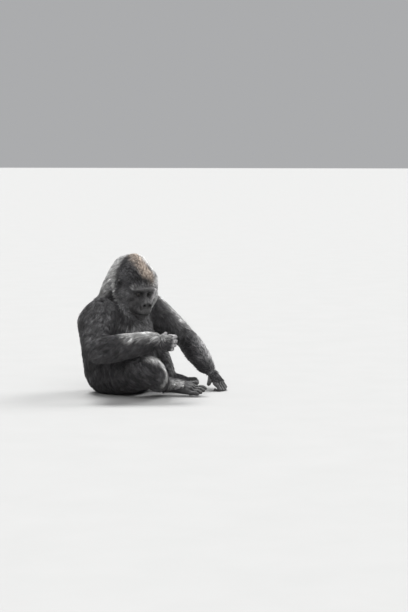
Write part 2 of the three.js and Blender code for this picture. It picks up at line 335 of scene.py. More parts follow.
def joinSolids():
    # copies of all the solids in one mesh, a tree of it and each face's solid, by number
    work = bmesh.new()
    for index, name in enumerate(fleshNames + eyeNames):
        known = len(work.faces)
        work.from_mesh(nodes[name].data)
        work.faces.ensure_lookup_table()
        for face in work.faces[known:]:
            face.material_index = index
    bmesh.ops.remove_doubles(work, verts=work.verts, dist=1e-5)
    faceNode = [face.material_index for face in work.faces]
    for face in work.faces:
        face.material_index = 0
    work.normal_update()
    for vertex in work.verts:
        vertex.co += vertex.normal * skinPlan["grow"]
    tree = BVHTree.FromBMesh(work)
    return meshFrom(work, "skin"), tree, faceNode


def isFine(spots):
    # bare places, which keep a fine mesh: face, ears, hands and feet
    head = toHead(spots)
    found = within(head, (-92, 40, -190), (92, 190, 58)) | (fromEar(head, (24, 34, 44)) < 1)
    for name in allDigits:
        low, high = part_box(name)
        found |= within(spots, np.array(low) - 0.01, np.array(high) + 0.01)
    return found


joined, solidTree, faceNode = joinSolids()
skin = newObject("skin", joined)
remesh = skin.modifiers.new("remesh", "REMESH")
remesh.mode = "VOXEL"
remesh.voxel_size = skinPlan["voxel"]
applyAll(skin)
body = skin.vertex_groups.new(name="body")
body.add(np.nonzero(~isFine(spotsOf(skin.data)))[0].tolist(), 1, "REPLACE")
smooth = skin.modifiers.new("smooth", "SMOOTH")
smooth.iterations = skinPlan["rounds"]
softer = skin.modifiers.new("softer", "SMOOTH")
softer.iterations = skinPlan["bodyRounds"]
softer.vertex_group = "body"
fewer = skin.modifiers.new("fewer", "DECIMATE")
fewer.ratio = skinPlan["bodyShare"]
fewer.vertex_group = "body"
applyAll(skin)
print("skin joined:", len(skin.data.vertices), "vertices")


def refine(mesh, chosen, rounds):
    # splits the faces whose corners are all chosen, and rounds them off
    work = bmesh.new()
    work.from_mesh(mesh)
    work.verts.ensure_lookup_table()
    inside = [e for e in work.edges if chosen[e.verts[0].index] and chosen[e.verts[1].index]]
    bmesh.ops.subdivide_edges(work, edges=inside, cuts=1, use_grid_fill=True)
    near = [v for v in work.verts if v.index < 0 or v.index >= len(chosen) or chosen[v.index]]
    for _ in range(rounds):
        bmesh.ops.smooth_vert(work, verts=near, factor=0.5,
                              use_axis_x=True, use_axis_y=True, use_axis_z=True)
    work.to_mesh(mesh)
    work.free()


def isFace(head):
    return within(head, (-84, 62, -182), (84, 190, 50))


def isFeature(head):
    # eyes, nose and mouth, which get the finest mesh
    x, z = pose["eyeAt"][0], pose["eyeAt"][2]
    eye = (np.hypot(np.abs(head[:, 0]) - x, head[:, 2] - z) < 27) & (head[:, 1] > 85) & (head[:, 1] < 190)
    nose = within(head, (-36, 135, -84), (36, 190, -34))
    mouth = within(head, (-60, 95, -134), (60, 190, -104))
    return eye | nose | mouth


for chosen in (isFace, isFeature):
    refine(skin.data, chosen(toHead(spotsOf(skin.data))), 2)
print("face refined:", len(skin.data.vertices), "vertices")


# ---- coat: how deep and long it is on each part ----
coatPlan = {  # depth from skin to tips, length of a tuft, its width and tufts to a square metre
    "head": (0.0078, 0.025, 0.0020, 139000),
    "neck": (0.0180, 0.045, 0.0025, 95000),
    "trunk": (0.0195, 0.050, 0.0028, 71000),
    "upper_arm": (0.0200, 0.056, 0.0028, 72000),
    "forearm": (0.0185, 0.060, 0.0028, 78000),
    "thigh": (0.0190, 0.050, 0.0027, 71000),
    "lower_leg": (0.0150, 0.042, 0.0026, 80000),
    "hand": (0.0070, 0.024, 0.0021, 100000),
    "foot": (0.0045, 0.016, 0.0021, 100000),
    "ear": (0.0008, 0.006, 0.0016, 20000),
    "eye": (0.0, 0.004, 0.0018, 0),
}


def nearestSolid(spots):
    # the number of the nearest solid, and the nearest place on it
    found = [solidTree.find_nearest(Vector(spot)) for spot in spots]
    return np.array([faceNode[face] for _, _, face, _ in found]), np.array([at for at, *_ in found])


def among(parts, *names):
    return np.isin(parts, [allNames.index(name) for name in names])


def bareFace(head):
    # over 1 on the hairless face, and falling away from it
    x, y, z = np.abs(head[:, 0]), head[:, 1], head[:, 2]
    eyes = np.hypot(x / 68, (z + 8) / 33)
    muzzle = np.hypot(x / 60, (z + 84) / 66)
    cheek = np.hypot((x - 42) / 30, (z + 36) / 36)
    nearest = np.minimum(np.minimum(eyes, muzzle), cheek)
    return smoothstep(1.75, 0.85, nearest) * 1.6 * smoothstep(25, 75, y) * (y < 215)


def bareHand(spots, side):
    # the palm, the fingers and the far half of the back of the hand
    plan, wrist = hands[side], np.array(joints[side]["wrist"])
    ahead = (spots - wrist) @ np.array(plan["ahead"]) * 1000
    palmward = (spots - wrist) @ np.array(plan["palmward"]) * 1000
    start = 90 - 83 * smoothstep(-8, 12, palmward)
    return 1.6 * smoothstep(-38, 14, ahead - start)


def bareFoot(spots, side):
    heel, toes = np.array(joints[side]["heel"]), np.array(joints[side]["toes"])
    ahead = (spots - heel) @ unit(toes - heel) * 1000
    height = spots[:, 2] * 1000
    start = 160 - 168 * smoothstep(48, 22, height)
    return 1.6 * smoothstep(-44, 16, ahead - start)


def bareness(spots, parts):
    # 0 in the full coat, 1 and more on hairless skin
    head = toHead(spots)
    found = bareFace(head)
    for side in ("right", "left"):
        for part, bare in (("hand_", bareHand), ("foot_", bareFoot)):
            found = np.where(among(parts, part + side), np.maximum(found, bare(spots, side)), found)
        found = np.where(among(parts, "ear_" + side), 1.25, found)
        found = np.where(among(parts, "eye_" + side), 1.6, found)
    return found


def planned(column, rounds):
    # a column of coatPlan over the skin, with soft changes from part to part
    table = [coatPlan[name.replace("_right", "").replace("_left", "")] for name in allNames]
    return relaxed(np.array(table)[parts, column], edges, rounds)


def underCoat(spots):
    # the skin set back by the coat's depth, less what smoothing took off
    sunk = relaxed(((onSolid - spots) * lean).sum(1) - skinPlan["grow"], edges, 12)
    most = relaxed(np.where(onHead, skinPlan["headOut"], skinPlan["bodyOut"]), edges, 30)
    full = np.ones(len(spots))
    for middle, reach in skinPlan["full"]:
        full *= 1 - 0.7 * np.exp(-(np.linalg.norm(spots - place(*middle), axis=1) / reach) ** 2)
    inset = np.clip(coatDepth * full - sunk, 0.2 * coatDepth - most, coatDepth + 0.004)
    spots = spots - lean * inset[:, None]
    spots = spots + (relaxed(spots, edges, 3) - spots) * smoothstep(0.004, 0.012, coatDepth)[:, None]
    clear = 0.0025 * smoothstep(0.002, 0.008, coatDepth)  # of the floor
    spots[:, 2] = np.maximum(spots[:, 2], clear)
    return spots


allNames = fleshNames + eyeNames
spots, lean, edges = spotsOf(skin.data), normalsOf(skin.data), edgesOf(skin.data)
parts, onSolid = nearestSolid(spots)
onHead = among(parts, "head", "ear_right", "ear_left", *eyeNames)
bare = relaxed(bareness(spots, parts), edges, 6)
nearEar = np.exp(-fromEar(toHead(spots) - (0, 6, 0), (40, 40, 44)) ** 2)
hollow = ((relaxed(spots, edges, 40) - spots) * lean).sum(1)
crease = relaxed(smoothstep(0.003, 0.010, hollow), edges, 4)  # where the hair is short and lies flat
coatDepth = planned(0, 16) * smoothstep(1.15, 0.25, bare) * (1 - 0.5 * crease)
tuftLength = planned(1, 30) * (0.22 + 0.78 * smoothstep(1.0, 0.05, bare)) * (1 - 0.6 * nearEar)
tuftWidth = planned(2, 20) * (0.62 + 0.38 * smoothstep(1.0, 0.2, bare))
density = planned(3, 20) * smoothstep(1.1, 0.75, bare) * (1 + 0.6 * smoothstep(0.1, 0.7, bare))
density[among(parts, *eyeNames)] = 0
setSpots(skin.data, underCoat(spots))
print("coat depth taken off the skin")


# ---- face: forms, folds and lids pushed and pulled in the head's own millimetres ----
faceForms = [  # name, place, size, how far out, and whether it is paired
    ("brow bar", (0, 122, 28), (34, 26, 10), 5.0, False),
    ("brow above the eye", (40, 112, 25), (24, 26, 9), 7.0, True),
    ("brow end", (66, 88, 16), (15, 24, 12), 5.0, True),
    ("notch between the brows", (0, 128, 16), (6, 20, 14), -3.0, False),
    ("inner eye hollow", (19, 120, -12), (8, 16, 12), -5.0, True),
    ("cheekbone", (54, 92, -38), (17, 24, 13), 3.0, True),
    ("hollow under the cheekbone", (54, 96, -70), (14, 26, 16), -4.0, True),
    ("nose ridge", (0, 132, -36), (10, 20, 12), 1.5, False),
    ("nostril wing", (25, 152, -60), (11, 18, 12), 5.5, True),
    ("wing top", (15, 152, -46), (10, 14, 8), 3.0, True),
    ("nose furrow", (0, 162, -54), (3.2, 16, 14), -3.0, False),
    ("lip above the nostrils", (0, 166, -82), (26, 20, 7), -2.4, False),
    ("upper lip", (0, 170, -103), (38, 26, 9), 2.6, False),
    ("lower lip", (0, 160, -133), (32, 28, 8), 4.0, False),
    ("dip under the lip", (0, 160, -146), (30, 24, 6), -2.4, False),
    ("chin", (0, 150, -168), (24, 24, 11), 3.0, False),
]
faceLines = [  # name, line across the front as x and z, width, height, and whether it is paired
    ("mouth", [(-46, -124), (-36, -120), (-18, -118), (0, -119), (18, -118), (36, -120), (46, -124)],
     4.4, -11.0, False),
    ("upper lip edge", [(-46, -113), (-24, -110), (0, -111), (24, -110), (46, -113)], 3.6, 2.2, False),
    ("lower lip edge", [(-44, -130), (-22, -128), (0, -129), (22, -128), (44, -130)], 4.0, 3.0, False),
    ("wing ridge", [(4, -47), (14, -43), (25, -47), (33, -58), (33, -71), (26, -80)], 5.0, 3.4, True),
    ("nose side", [(8, -26), (20, -33), (34, -42), (42, -57), (43, -74), (35, -89)], 4.0, -4.6, True),
    ("muzzle fold", [(33, -86), (40, -98), (45, -112)], 3.4, -2.6, True),
    ("muzzle ridge", [(44, -78), (49, -92), (52, -106)], 4.0, 2.4, True),
    ("cheek fold", [(47, -70), (56, -90), (61, -110), (58, -132)], 4.6, -3.4, True),
    ("outer cheek fold", [(60, -62), (69, -84), (73, -106)], 4.6, -1.6, True),
    ("frown", [(4, 6), (6, 20), (10, 34)], 2.2, -2.0, True),
    ("bridge crease 1", [(-15, 3), (0, 0), (15, 3)], 1.9, -1.7, False),
    ("bridge crease 2", [(-14, -6), (0, -10), (14, -6)], 1.9, -1.8, False),
    ("bridge crease 3", [(-15, -15), (0, -20), (15, -15)], 1.9, -1.7, False),
    ("bridge crease 4", [(-17, -25), (0, -30), (17, -25)], 1.9, -1.4, False),
    ("lid fold", [(17, -9), (24, -1), (37, 4), (50, 0), (58, -9)], 1.9, -2.0, True),
    ("brow fold", [(16, 2), (26, 9), (39, 12), (53, 8), (62, -2)], 2.2, -1.8, True),
    ("under the eye 1", [(17, -20), (25, -29), (38, -33), (51, -29), (59, -20)], 1.9, -2.0, True),
    ("under the eye 2", [(18, -30), (27, -37), (40, -41), (54, -36), (64, -26)], 2.0, -1.7, True),
    ("under the eye 3", [(22, -40), (33, -47), (46, -48), (60, -42)], 2.0, -1.3, True),
    ("eye corner 1", [(58, -12), (66, -9), (74, -3)], 1.8, -1.3, True),
    ("eye corner 2", [(59, -18), (67, -19), (75, -17)], 1.8, -1.3, True),
    ("lip crease 1", [(12, -92), (13, -108)], 1.6, -0.9, True),
    ("lip crease 2", [(24, -92), (27, -108)], 1.6, -0.9, True),
    ("chin crease", [(-26, -152), (0, -156), (26, -152)], 2.2, -1.5, False),
]
nostril = {
    "at": (16.5, -61),  # aside and up
    "size": (10.4, 10.6),
    "lean": 30,  # in degrees
    "depth": 16,
    "rise": 0.25,  # of its depth
    "rim": 2.2,
}
eyeLids = {
    "halfAngle": 50,  # of the opening, in degrees round the eyeball
    "up": 17,
    "down": 19,
    "slant": 0.06,  # how much higher the outer corner is
    "lift": 1.7,  # of the lids over the eyeball
    "edge": 0.9,  # how much more at their edge
    "back": 4.0,  # how far behind its front the skin passes
    "gazeOut": 4,
}
digitPlan = {
    "furrow": 3.4,  # depth between fingers and between toes
    "width": 5.0,
    "tendons": 2.0,  # depth between the tendons behind them
    "behind": 45,  # how far back the tendons show
    "knuckle": 2.4,
}
ears = {"flare": 25, "size": (20, 30), "bowl": 9.0, "rim": 4.2, "inner": 1.7, "tragus": 3.2}


def along(points, step):
    # a smooth line through the points, with a place at each step
    ends = [2 * points[0] - points[1], *points, 2 * points[-1] - points[-2]]
    found = []
    for a, b, c, d in zip(ends, ends[1:], ends[2:], ends[3:]):
        for t in np.linspace(0, 1, max(2, int(np.linalg.norm(c - b) / step)), endpoint=False):
            found.append(0.5 * ((2 * b) + (c - a) * t + (2 * a - 5 * b + 4 * c - d) * t ** 2
                                + (3 * b - a - 3 * c + d) * t ** 3))
    return np.array(found + [points[-1]])


def evenly(places, step):
    # places at even steps along the line through these
    reach = np.append(0, np.cumsum(np.linalg.norm(np.diff(places, axis=0), axis=1)))
    steps = np.linspace(0, reach[-1], max(2, int(reach[-1] / step)))
    return np.stack([np.interp(steps, reach, column) for column in places.T], 1)


def sculptForms(mesh, forms):
    for _, at, size, out, paired in forms:
        spots, lean = spotsOf(mesh), normalsOf(mesh)
        head = folded(toHead(spots)) if paired else toHead(spots)
        near = np.exp(-0.5 * (((head - np.array(at)) / np.array(size)) ** 2).sum(1))
        setSpots(mesh, spots + lean * (near * out / 1000)[:, None])


def sculptLines(mesh, lines):
    spots, lean = spotsOf(mesh), normalsOf(mesh)
    head = toHead(spots)
    tree = treeOf(head, mesh)
    chosen = np.nonzero((head[:, 1] > 50) & (np.abs(head[:, 0]) < 90))[0]
    near = head[chosen]
    push = np.zeros(len(chosen))
    for _, line, width, out, paired in lines:
        for mirrored in ((1, -1) if paired else (1,)):
            flat = along([np.array((x * mirrored, z), float) for x, z in line], 1.2)
            hits = [tree.ray_cast(Vector((x, 300, z)), Vector((0, -1, 0)))[0] for x, z in flat]
            places = evenly(np.array([hit for hit in hits if hit]), 0.8)
            fade = np.sin(np.linspace(0.12, np.pi - 0.12, len(places))) ** 0.5
            close = ((near[:, None, :] - places[None, :, :]) ** 2).sum(2)
            best = close.argmin(1)
            push += out * fade[best] * np.exp(-close[np.arange(len(near)), best] / width ** 2)
    moved = spots.copy()
    moved[chosen] += lean[chosen] * (push / 1000)[:, None]
    setSpots(mesh, moved)


def cutNostrils(mesh):
    head = toHead(spotsOf(mesh))
    lean = math.radians(nostril["lean"])
    for side in (1, -1):
        x, z = head[:, 0] * side - nostril["at"][0], head[:, 2] - nostril["at"][1]
        a = (x * math.cos(lean) + z * math.sin(lean)) / nostril["size"][0]
        b = (z * math.cos(lean) - x * math.sin(lean)) / nostril["size"][1]
        away = np.hypot(a, b / (1 + 0.35 * np.clip(a, -1, 1)))
        front = smoothstep(128, 142, head[:, 1]) * (head[:, 1] < 200)
        hole = smoothstep(1.0, 0.62, away) * nostril["depth"] * front
        rim = np.exp(-((away - 1.22) / 0.26) ** 2) * nostril["rim"] * front
        head[:, 1] += rim - hole
        head[:, 2] += hole * nostril["rise"]
    setSpots(mesh, fromHead(head))


def setLids(mesh):
    # the lids lie over the eyeball and part in an almond, where the skin passes behind it
    head = toHead(spotsOf(mesh))
    radius = pose["eyeRadius"]
    for side in (1, -1):
        turn = math.radians(eyeLids["gazeOut"]) * side
        at = np.array(pose["eyeAt"]) * (side, 1, 1)
        x, y, z = (head - at).T
        x, y = x * math.cos(turn) - y * math.sin(turn), y * math.cos(turn) + x * math.sin(turn)
        far = np.sqrt(x * x + y * y + z * z)
        aside = np.degrees(np.arctan2(x * side, np.maximum(y, 1e-3)))
        raised = np.degrees(np.arcsin(np.clip(z / np.maximum(far, 1e-6), -1, 1)))
        share = np.clip(np.abs(aside) / eyeLids["halfAngle"], 0, 1)
        slant = aside * eyeLids["slant"]
        top = eyeLids["up"] * (1 - share ** 2.2) + slant
        bottom = -eyeLids["down"] * (1 - share ** 2.2) + slant
        beyond = np.maximum(raised - top, bottom - raised)
        beyond = np.where(np.abs(aside) > eyeLids["halfAngle"],
                          np.hypot(np.maximum(beyond, 0), np.abs(aside) - eyeLids["halfAngle"]), beyond)
        near = (far < 26) & (y > 0)
        spread = np.degrees(np.arccos(np.clip(y / np.maximum(far, 1e-6), -1, 1)))
        lid = radius + eyeLids["lift"] + eyeLids["edge"] * np.exp(-(beyond / 7) ** 2)
        lid = np.where(beyond < 0, radius - eyeLids["back"], lid)
        hold = smoothstep(84, 50, spread) * near
        hold = np.where(beyond < 0, near, hold)
        goal = far + (lid - far) * hold
        head += (head - at) * (goal / np.maximum(far, 1e-6) - 1)[:, None]
    setSpots(mesh, fromHead(head))


def shapeEars(mesh):
    head = toHead(spotsOf(mesh))
    for side in (1, -1):
        flare = math.radians(ears["flare"]) * side
        x, y, z = (head - np.array(pose["earAt"]) * (side, 1, 1)).T
        out = (x * math.cos(flare) + y * math.sin(flare)) * side
        ahead = y * math.cos(flare) - x * math.sin(flare)
        away = np.hypot(ahead / ears["size"][0], z / ears["size"][1])
        outer = smoothstep(-6, 2, out) * (away < 1.4)
        bowl = smoothstep(0.74, 0.3, np.hypot((ahead - 1) / 18, (z + 2) / 27)) * ears["bowl"]
        inner = np.exp(-((np.hypot((ahead + 1) / 12, (z - 1) / 20) - 0.85) / 0.16) ** 2) * ears["inner"]
        tragus = np.exp(-((ahead - 12) / 4) ** 2 - ((z + 6) / 6) ** 2) * ears["tragus"]
        rim = np.exp(-((away - 0.92) / 0.13) ** 2) * ears["rim"]
        push = (rim + inner + tragus - bowl) * outer * side
        head[:, 0] += push * math.cos(flare)
        head[:, 1] += push * math.sin(flare)
    setSpots(mesh, fromHead(head))


def furrows(spots, digits, back):
    # 1 half way between neighbouring fingers or toes, from this far behind their roots
    lines = []
    for each in digits:
        root, after = (np.array(spot) * 1000 for spot in each["joints"][:2])
        lines.append(np.concatenate([[root - unit(after - root) * 5 - each["behind"] * back],
                                     np.array(each["joints"]) * 1000]))
    away = np.stack([awayFrom(spots * 1000, line) for line in lines], 1)
    first, second = np.sort(away, 1)[:, :2].T
    return np.exp(-((second - first) / digitPlan["width"]) ** 2) * smoothstep(38, 24, second)


def shapeDigits(mesh):
    # furrows between the fingers and toes, and knuckles on them
    spots, lean = spotsOf(mesh), normalsOf(mesh)
    for name, digits in allDigits.items():
        mine = among(parts, name)
        near, out = spots[mine] * 1000, lean[mine]
        push = -digitPlan["furrow"] * furrows(spots[mine], digits, 0)
        push -= digitPlan["tendons"] * furrows(spots[mine], digits, digitPlan["behind"])
        for each in digits:
            back = 0.35 + 0.65 * smoothstep(-0.2, 0.5, out @ np.array(each["up"]))
            for joint in each["joints"][:-1]:
                reach = np.linalg.norm(near - np.array(joint) * 1000, axis=1)
                push += digitPlan["knuckle"] * smoothstep(24, 12, reach) * back
        spots[mine] += out * (push / 1000)[:, None]
    spots[:, 2] = np.maximum(spots[:, 2], 0)
    setSpots(mesh, spots)


def roughen(mesh, size, amount):
    # slight unevenness where the skin is bare
    spots, lean = spotsOf(mesh), normalsOf(mesh)
    head = toHead(spots)
    chosen = np.nonzero((bare > 0.5) & (head[:, 1] > 40))[0]
    uneven = np.array([noise.noise(Vector(head[i] / size)) for i in chosen])
    spots[chosen] += lean[chosen] * (uneven * amount / 1000)[:, None]
    setSpots(mesh, spots)


sculptForms(skin.data, faceForms)
sculptLines(skin.data, faceLines)
roughen(skin.data, 9, 0.7)
roughen(skin.data, 3.5, 0.3)
cutNostrils(skin.data)
setLids(skin.data)
shapeEars(skin.data)
shapeDigits(skin.data)
print("face, ears and digits shaped")


# ---- lie of the hair ----
def blended(first, second, share):
    return first + (second - first) * share[:, None]


limbHair = {  # the joints that the hair runs from and to, and how much it sags
    "upper_arm_": ("shoulder", "elbow", 0.25),
    "forearm_": ("wrist", "elbow", 0.5),
    "thigh_": ("hip", "knee", 0.45),
    "lower_leg_": ("knee", "ankle", 0.3),
    "foot_": ("heel", "toes", 0),
}
# outwards, ahead and up in the head's axes, on the crown, the forehead, the cheeks and the chin
headHair = [(0.25, -1.0, -0.45), (0.2, -1.0, 0.5), (0.3, -0.75, -0.9), (0.1, -0.6, -0.8)]


def hairFlow(spots, parts):
    # which way the hair runs on each part, before it is laid along the skin
    aside = spots[:, 0] - headMiddle.x
    outward = np.sign(aside) * smoothstep(0, 0.08, np.abs(aside))
    flow = np.tile((0.0, 0.15, -1.0), (len(spots), 1))
    flow[:, 0] += 0.45 * outward
    for side, joint in joints.items():
        for part, (start, end, sag) in limbHair.items():
            way = (joint[end] - joint[start]).normalized() + Vector((0, 0, -sag))
            flow[among(parts, part + side)] = np.array(way)
        flow[among(parts, "hand_" + side)] = np.array(hands[side]["ahead"])
    head = toHead(spots)
    aside = np.sign(head[:, 0]) * smoothstep(0, 25, np.abs(head[:, 0]))
    level = np.zeros(len(head))
    over, fore, cheek, chin = (np.stack([x * aside, level + y, level + z], 1) for x, y, z in headHair)
    way = blended(over, fore, smoothstep(55, 100, head[:, 1]) * smoothstep(0, 25, head[:, 2]))
    way = blended(way, cheek, smoothstep(15, -25, head[:, 2]))
    way = blended(way, chin, smoothstep(-95, -130, head[:, 2]))
    flow[onHead] = (unit(way) @ np.array(headAxes).T)[onHead]
    return unit(flow)


spots, lean = spotsOf(skin.data), normalsOf(skin.data)
flow = relaxed(hairFlow(spots, parts), edges, 60)
flow = unit(flow - lean * (flow * lean).sum(1)[:, None])


def unwrap(thing):
    # the map that gives each tuft its place in the bake
    for other in bpy.context.selected_objects:
        other.select_set(False)
    thing.select_set(True)
    bpy.context.view_layer.objects.active = thing
    thing.data.uv_layers.new(name="OFBake")
    bpy.ops.object.mode_set(mode="EDIT")
    bpy.ops.mesh.select_all(action="SELECT")
    bpy.ops.uv.smart_project(angle_limit=1.3, island_margin=0.002)
    bpy.ops.object.mode_set(mode="OBJECT")


unwrap(skin)


# ---- markings, painted sunlight and painted shade, shared by skin and coat ----
coatColoursAndPaintedLight = {  # colours of the hair, as linear light; pale stands for painted sunlight and rim light, dark for painted shade
    "coat": (0.056, 0.055, 0.058),
    "grey": (0.135, 0.134, 0.137),
    "silver": (0.215, 0.214, 0.217),
    "pale": (0.700, 0.695, 0.685),
    "rust": (0.340, 0.280, 0.232),
    "dark": (0.014, 0.0135, 0.015),
}
headMarksAndPaintedLight = [  # colour, line along the head, reach round it, strength and whether on both sides; most pale and dark lines are painted sunlight and painted shade
    # painted sunlight on the back of the head
    ("pale", [(26, -84, 130), (41, -96, 123), (74, -106, 93), (94, -116, 64), (112, -100, 31)],
     36, 0.80, False),
    # red crown hair, made paler as painted sunlight
    ("rust", [(16, -62, 142), (8, -30, 140), (2, 17, 121), (-2, 46, 104), (-12, 72, 78), (-36, 88, 57)],
     31, 1.00, False),
    ("rust", [(-20, 60, 84), (-62, 74, 58)], 24, 0.85, False),
    # painted rim light along the far side of the crown
    ("pale", [(-28, -68, 143), (-32, -12, 131), (-72, 20, 96), (-78, 58, 66), (-84, 80, 34)],
     19, 0.90, False),
    # painted shade on the near side of the crown
    ("dark", [(46, -62, 122), (74, -36, 100), (68, 5, 98), (56, 45, 88), (46, 78, 64)], 30, 1.00, False),
    # painted shade in a band above the brow
    ("dark", [(46, 84, 58), (0, 98, 50), (-34, 100, 42)], 16, 0.95, False),
    # painted shade on the temples
    ("dark", [(88, 30, 66), (62, 76, 54)], 26, 0.60, True),
    # painted shade round the ears
    ("dark", [(114, 30, 28), (119, 16, 4)], 24, 0.95, True),
    # painted highlight on the hair over the brow ridge
    ("pale", [(0, 118, 27), (45, 121, 26), (70, 108, 22)], 11, 0.36, True),
    # grey cheek hair, made paler as painted sunlight
    ("silver", [(96, 70, -30), (102, 44, -86), (66, 84, -140)], 40, 1.00, True),
    # painted rim light behind the ears, down towards the jaw
    ("pale", [(116, -47, 7), (126, -7, -58), (112, 24, -86)], 11, 0.70, True),
    # painted rim light down the far cheek and jaw
    ("pale", [(-90, 88, 26), (-104, 84, -20), (-104, 84, -56), (-102, 80, -90), (-62, 108, -150)],
     32, 1.00, False),
    ("grey", [(0, 120, -180), (40, 100, -176)], 26, 0.90, True),
    # painted shade under the jaw
    ("dark", [(140, -14, -84), (123, 54, -134), (93, 92, -170), (62, 110, -196)], 24, 0.90, True),
]
bodyMarksAndPaintedLight = [  # the same on the body, many of them painted sunlight or painted shade
    # painted sunlight on the nape, over its paler hair
    ("pale", [(0, 20, 830), (0, 100, 730), (0, 150, 610)], 95, 0.44, False),
    # painted sunlight on the paler hair down the sides of the nape
    ("pale", [(44, 44, 790), (85, 40, 730), (112, 78, 650), (124, 96, 600)], 48, 0.52, True),
    ("grey", [(0, 300, 500), (0, 320, 260)], 190, 0.90, False),
    ("grey", [(230, 210, 470), (225, 260, 330)], 70, 0.80, True),
    # grey hair on the shoulders and upper arms, here also painted sunlight
    ("grey", [(230, 10, 560), (330, -40, 470), (400, -80, 390)], 80, 0.60, True),
    # painted sunlight on the chest, as grey and silver
    ("grey", [(-90, -90, 430), (60, -110, 420)], 90, 1.00, False),
    ("silver", [(-60, -95, 400), (60, -112, 396)], 70, 0.90, False),
    # painted sunlight on the top of the right forearm
    ("pale", [(-306, -262, 382), (-236, -348, 392)], 34, 0.85, False),
    # painted sunlight on the back of the right hand
    ("pale", [(-236, -348, 392), (-200, -384, 386), (-184, -408, 366)], 22, 0.75, False),
    # painted shade under the right wrist
    ("dark", [(-262, -352, 330), (-226, -384, 322)], 34, 0.50, False),
    # painted sunlight on the right knee
    ("pale", [(-218, -316, 250), (-204, -342, 238), (-180, -352, 214)], 31, 1.00, False),
    # painted sunlight down the front of the right shin
    ("pale", [(-180, -352, 214), (-158, -362, 186), (-160, -374, 140), (-168, -372, 108)], 25, 1.00, False),
    # painted rim light along the outer edge of the left upper arm
    ("pale", [(238, -10, 588), (360, -80, 462), (505, -100, 372)], 47, 0.95, False),
    # painted rim light along the left forearm
    ("pale", [(535, -117, 345), (438, -366, 155)], 47, 0.95, False),
    # painted sunlight down the front of the left shin
    ("pale", [(300, -70, 250), (240, -170, 130)], 34, 0.50, False),
    # painted sunlight on the top of the right foot
    ("pale", [(0, -305, 80), (24, -365, 80), (50, -410, 66)], 26, 0.80, False),
]
# painted light and shade on the bare skin: line along the head, reach round it and how much paler, as
# painted highlight, or darker, as painted shade, the bare skin is there. A line that starts at a negative x
# is on that side only, and any other is on both.
paintedSkinLightAndShade = [
    # painted highlight on the brow ridge
    ([(0, 115, 33), (45, 118, 32), (66, 108, 28), (82, 90, 24)], 12, 3.4),
    # painted shade in the eye hollows under the brow
    ([(20, 108, -12), (37, 108, -16), (54, 100, -14)], 15, -0.80),
    # painted highlight down the nose ridge
    ([(0, 128, -30), (0, 156, -44)], 10, 0.9),
    # painted highlight on the cheekbones
    ([(56, 104, -44), (66, 96, -84)], 22, 0.8),
    # painted highlight on the nostril wings
    ([(14, 162, -44), (32, 162, -54), (38, 154, -74)], 6, 1.2),
    # painted highlight on the muzzle ridges
    ([(48, 134, -78), (54, 128, -104)], 8, 0.9),
    # painted highlight on the upper lip
    ([(0, 172, -90), (36, 162, -96)], 10, 0.6),
    # painted shade in the mouth line
    ([(0, 170, -121), (24, 166, -121), (46, 140, -124)], 9, -0.92),
    # painted highlight along the lower lip
    ([(0, 163, -135), (34, 151, -134)], 8, 2.0),
    # painted shade in the folds beside the nose
    ([(26, 160, -58), (44, 150, -74), (50, 140, -98)], 4, -0.60),
    # painted highlight along the far edge of the muzzle and lips
    ([(-47, 152, -98), (-44, 151, -114), (-31, 150, -140)], 8, 4.0),
    # painted rim light down the far side of the face
    ([(-68, 116, 18), (-74, 108, -13), (-74, 108, -38), (-84, 98, -76)], 16, 10.0),
    # painted shade in the nostrils
    ([(16, 166, -62), (24, 158, -60)], 10, -0.85),
    # painted shade in the ear bowls
    ([(118, 8, 4), (120, 12, -8)], 15, -0.8),
    # painted highlight on the ear rims
    ([(120, 24, 28), (126, -4, 36), (130, -12, 8), (126, -4, -18)], 6, 3.0),
]


def hairColoursWithPaintedLight(spots):
    # the colour of the coat at each place, with its painted sunlight and painted shade
    head = toHead(spots)
    colours = np.tile(np.array(coatColoursAndPaintedLight["coat"]), (len(spots), 1))
    for places, marks in (((spots - np.array(bodyShift)) * 1000, bodyMarksAndPaintedLight), (head, headMarksAndPaintedLight)):
        for name, line, reach, strength, paired in marks:
            away = awayFrom(folded(places) if paired else places, line)
            share = strength * np.exp(-(away / reach) ** 3)
            colours = blended(colours, np.array(coatColoursAndPaintedLight[name]), share)
    return colours


skinShades = {
    "feet": 0.62,  # of the rest's tone
    "furrow": 0.55,  # painted shade: how much darker between fingers and toes
    "tendons": 0.6,  # of that painted shade, on the back of the hand
    "knuckle": 0.5,  # how much paler
    "fist": 3.8,  # painted sunlight: how much paler the right hand is towards the wrist
}


def skinTones(spots):
    # how pale or dark the bare skin is at each place: mostly painted light and shade, with darker feet
    head = toHead(spots)
    tones = np.ones(len(spots))
    for line, reach, change in paintedSkinLightAndShade:
        places = head if line[0][0] < 0 else folded(head)
        tones *= 1 + change * np.exp(-(awayFrom(places, line) / reach) ** 2)
    tones[among(parts, "foot_right", "foot_left")] *= skinShades["feet"]
    for name, digits in allDigits.items():
        mine = among(parts, name)
        # painted shade in the furrows between digits and between the tendons
        tendons = skinShades["tendons"] * furrows(spots[mine], digits, digitPlan["behind"])
        tones[mine] *= 1 - skinShades["furrow"] * np.maximum(furrows(spots[mine], digits, 0), tendons)
        knuckles = [np.linalg.norm(spots[mine] - np.array(joint), axis=1)
                    for each in digits for joint in each["joints"][:-1]]
        tones[mine] *= 1 + skinShades["knuckle"] * smoothstep(0.022, 0.012, np.min(knuckles, axis=0))
    # painted sunlight on the right fist
    fist = np.linalg.norm(spots - np.array(joints["right"]["wrist"]), axis=1)
    return tones * (1 + skinShades["fist"] * smoothstep(0.19, 0.12, fist) * among(parts, "hand_right"))


